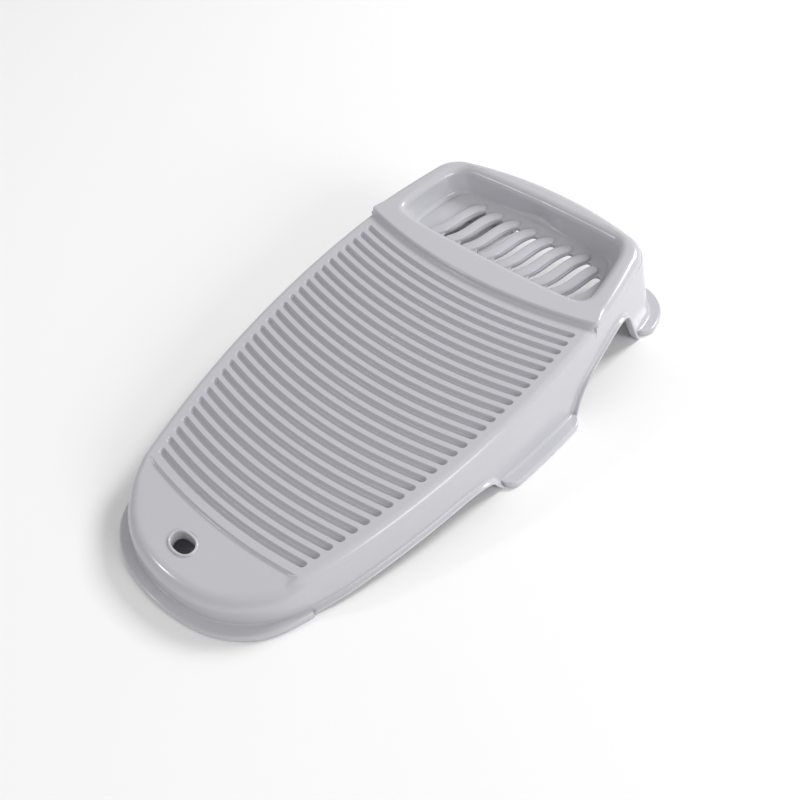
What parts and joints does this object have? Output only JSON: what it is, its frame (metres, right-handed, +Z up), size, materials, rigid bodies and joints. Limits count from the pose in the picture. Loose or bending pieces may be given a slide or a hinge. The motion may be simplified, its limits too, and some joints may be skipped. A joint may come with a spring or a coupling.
{
  "type": "washboard",
  "caption": "Tilted plastic laundry washboard with curved scrubbing grooves, a soap tray with drain slots at the high end and a hand rest with an oval hanging hole.",
  "frame": {"origin": "bottom centre of the bounding box, on the ground plane", "axes": "+X to the right across the board, +Y along the board towards the soap tray, +Z up"},
  "size_m": [0.2196, 0.4109, 0.077],
  "materials": {
    "shell": "semi-gloss"
  },
  "bodies": {
    "root": {"scrub_plate": "shell", "scrub_ridges": "shell", "left_band": "shell", "right_band": "shell", "hand_rest": "shell", "hanging_eyelet": "shell", "tray_deck": "shell", "tray_basin": "shell", "tray_floor": "shell", "drain_bars": "shell", "left_wall": "shell", "right_wall": "shell", "nose_wall": "shell", "rear_wall": "shell", "left_rear_leg": "shell", "right_rear_leg": "shell", "left_front_lip": "shell", "right_front_lip": "shell", "left_rear_lip": "shell", "right_rear_lip": "shell", "rear_lip": "shell", "nose_foot": "shell", "left_mid_foot": "shell", "right_mid_foot": "shell", "left_rear_foot": "shell", "right_rear_foot": "shell"}
  },
  "joints": []
}
